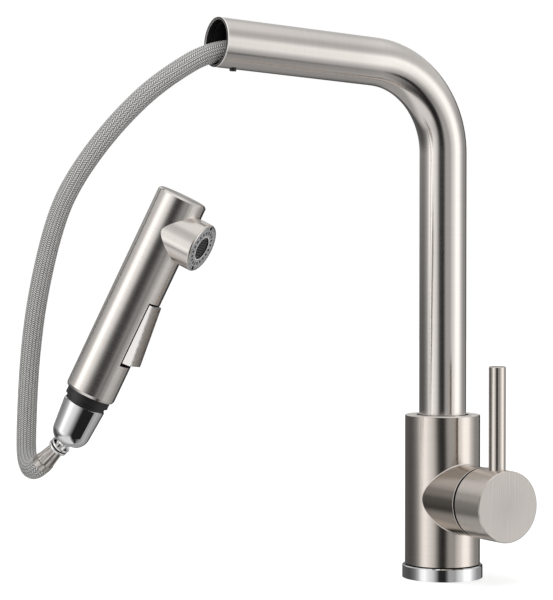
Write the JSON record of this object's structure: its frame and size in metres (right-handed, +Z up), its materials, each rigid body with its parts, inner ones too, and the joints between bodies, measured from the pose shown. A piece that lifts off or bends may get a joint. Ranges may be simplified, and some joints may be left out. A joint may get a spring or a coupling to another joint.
{
  "type": "kitchen mixer tap with pull-out spray",
  "caption": "Tall L-shaped kitchen mixer tap with a side lever, its two-mode spray pulled out of the spout on a braided hose.",
  "frame": {"origin": "centre of the base's underside, on the riser's axis", "axes": "+Z up along the riser; the spout's arm points along -X and the lever's axis along -Y"},
  "size_m": [0.2976, 0.134, 0.3485],
  "materials": {
    "brushed_steel": "satin, brushed along the tubes",
    "polished_chrome": "mirror polished",
    "brass": "machined",
    "spring_steel": "ground",
    "hose_fitting": "crimped nickel-plated brass",
    "braided_hose": "silver and grey braid",
    "black_rubber": "moulded",
    "black_plastic": "moulded",
    "grey_plastic": "moulded",
    "face_plastic": "moulded, fine grain",
    "white_plastic": "moulded",
    "ceramic": "lapped ceramic"
  },
  "bodies": {
    "mixer_body": {"body_shell": "brushed_steel", "base_ring": "polished_chrome", "base_gasket": "black_rubber", "valve_block": "brass", "upper_bearing": "white_plastic", "thrust_washer": "white_plastic", "snap_ring": "spring_steel", "cartridge_base": "grey_plastic", "port_seals": "black_rubber", "fixed_disc": "ceramic", "cartridge_housing": "grey_plastic", "cartridge_nut": "brass", "hose_lower": "braided_hose", "hose_tail": "hose_fitting"},
    "spout": {"spout_tube": "brushed_steel", "swivel_foot": "brass", "foot_o_rings": "black_rubber", "mouth_guide": "black_plastic", "guide_pin": "black_plastic", "hose_riser": "braided_hose"},
    "hose": {"hose_arm_stretch": "braided_hose", "hose_free": "braided_hose", "crimp_sleeve": "hose_fitting", "ball_stud": "polished_chrome"},
    "ball_seat": {"ball_seat": "white_plastic", "seat_o_ring": "black_rubber"},
    "spray": {"spray_shell": "brushed_steel", "end_cap": "brushed_steel", "nozzle_housing": "brushed_steel", "nozzle_body": "grey_plastic", "spray_face": "face_plastic", "nozzle_ring": "black_rubber", "aerator_housing": "face_plastic", "aerator_insert": "grey_plastic", "aerator_mesh": "spring_steel", "aerator_feed": "white_plastic", "spray_feed": "white_plastic", "diverter_body": "grey_plastic", "rocker_pin": "spring_steel", "spray_inlet": "brass", "check_valve": "white_plastic", "inlet_filter": "spring_steel", "dock_collar": "black_plastic", "dome_nut": "polished_chrome"},
    "selector": {"selector_rocker": "brushed_steel"},
    "diverter": {"diverter_plunger": "brass", "plunger_o_rings": "black_rubber"},
    "lever_carrier": {"stem_carrier": "white_plastic", "pivot_pin": "spring_steel"},
    "lever": {"lever_cap": "brushed_steel", "lever_rod": "brushed_steel", "grub_screw": "spring_steel", "lever_stem": "brass"},
    "moving_disc": {"moving_disc": "ceramic"}
  },
  "joints": [
    {"name": "spout_swivel", "type": "hinge", "parent": "mixer_body", "child": "spout", "pos_m": [0, 0, 0.1], "axis": [0, 0, 1], "continuous": true},
    {"name": "hose_pull", "type": "slide", "parent": "spout", "child": "hose", "axis": [-0.9983, 0, 0.0576], "range_m": [0, 0.1]},
    {"name": "spray_tilt", "type": "hinge", "parent": "hose", "child": "ball_seat", "pos_m": [-0.25353, 0.01539, 0.10065], "axis": [0.9268, 0.2708, -0.2603], "range_deg": [-1, 50]},
    {"name": "spray_turn", "type": "hinge", "parent": "ball_seat", "child": "spray", "pos_m": [-0.25353, 0.01539, 0.10065], "axis": [-0.335, 0.2825, -0.8989], "continuous": true},
    {"name": "selector_rock", "type": "hinge", "parent": "spray", "child": "selector", "pos_m": [-0.22497, -0.01095, 0.16128], "axis": [-0.7704, -0.6314, 0.0887], "range_deg": [-12.2, 0]},
    {"name": "diverter_slide", "type": "slide", "parent": "spray", "child": "diverter", "axis": [-0.335, 0.2825, -0.8989], "range_m": [-0.0014, 0]},
    {"name": "lever_turn", "type": "hinge", "parent": "mixer_body", "child": "lever_carrier", "pos_m": [0, 0, 0.0518], "axis": [0, -1, 0], "range_deg": [-45, 45]},
    {"name": "lever_lift", "type": "hinge", "parent": "lever_carrier", "child": "lever", "pos_m": [0, -0.024, 0.0518], "axis": [1, 0, 0], "range_deg": [0, 20]},
    {"name": "disc_slide", "type": "slide", "parent": "lever_carrier", "child": "moving_disc", "axis": [0, 0, 1], "range_m": [0, 0.002]}
  ],
  "couplings": [
    {"joint": "diverter_slide", "follows": "selector_rock", "m_per_rad": 0.0065},
    {"joint": "disc_slide", "follows": "lever_lift", "m_per_rad": 0.0056}
  ]
}
